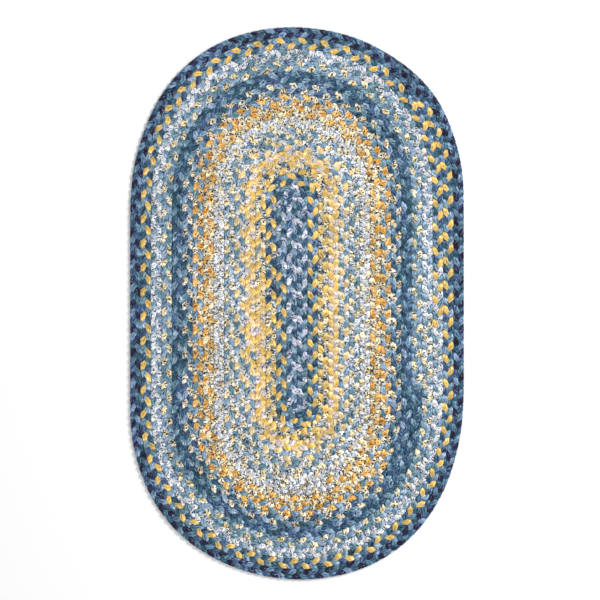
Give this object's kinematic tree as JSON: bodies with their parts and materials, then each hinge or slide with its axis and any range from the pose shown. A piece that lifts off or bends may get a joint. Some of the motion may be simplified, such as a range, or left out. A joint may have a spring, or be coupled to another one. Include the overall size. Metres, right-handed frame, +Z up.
{
  "type": "oval braided rug",
  "caption": "Oval floor rug of one flat three-strand braid, coiled round a straight core and laced row to row, with a tapered tail and a flat underside.",
  "frame": {"origin": "on the floor, under the middle of the rug's bounding box", "axes": "+Z up, out of the rug's face, and +Y along the rug's long axis"},
  "size_m": [0.6858, 1.135, 0.0095],
  "materials": {
    "braided_cotton": "matt woven cotton strips in plain and small print colours: navy, slate, steel blue, golden yellow, gold, cream and white"
  },
  "bodies": {
    "root": {"braided_rug": "braided_cotton"}
  },
  "joints": []
}
